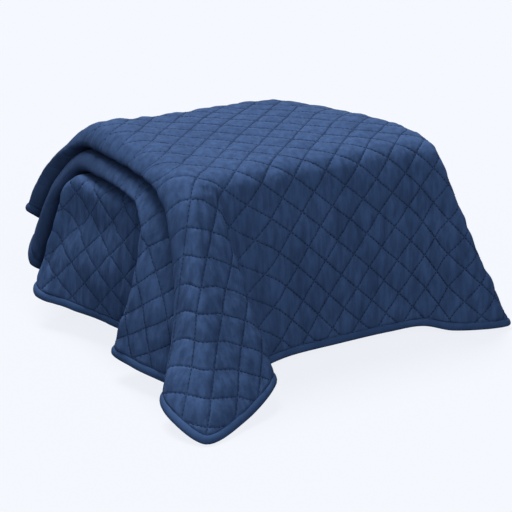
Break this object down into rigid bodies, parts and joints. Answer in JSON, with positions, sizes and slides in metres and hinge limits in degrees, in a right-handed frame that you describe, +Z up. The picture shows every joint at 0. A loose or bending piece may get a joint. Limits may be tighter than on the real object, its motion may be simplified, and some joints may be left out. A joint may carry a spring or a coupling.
{
  "type": "quilted bedspread on a plain bed block",
  "caption": "Diamond-quilted bedspread with a bound edge, draped over a plain bed block with folded corners at the end.",
  "frame": {"origin": "on the surface the block stands on, under the middle of the whole object's box", "axes": "+Z up, +X along the bed towards its right end, +Y away from the long side that hangs in front"},
  "size_m": [1.2175, 1.2476, 0.626],
  "materials": {
    "quilted_cotton": "matte navy cotton, quilted in diamonds with dark stitching",
    "binding_tape": "matte navy cotton tape, folded over the edge",
    "block_ticking": "plain pale ticking, hidden under the cloth"
  },
  "bodies": {
    "root": {"quilted_panel": "quilted_cotton", "binding": "binding_tape", "bed_block": "block_ticking"}
  },
  "joints": []
}
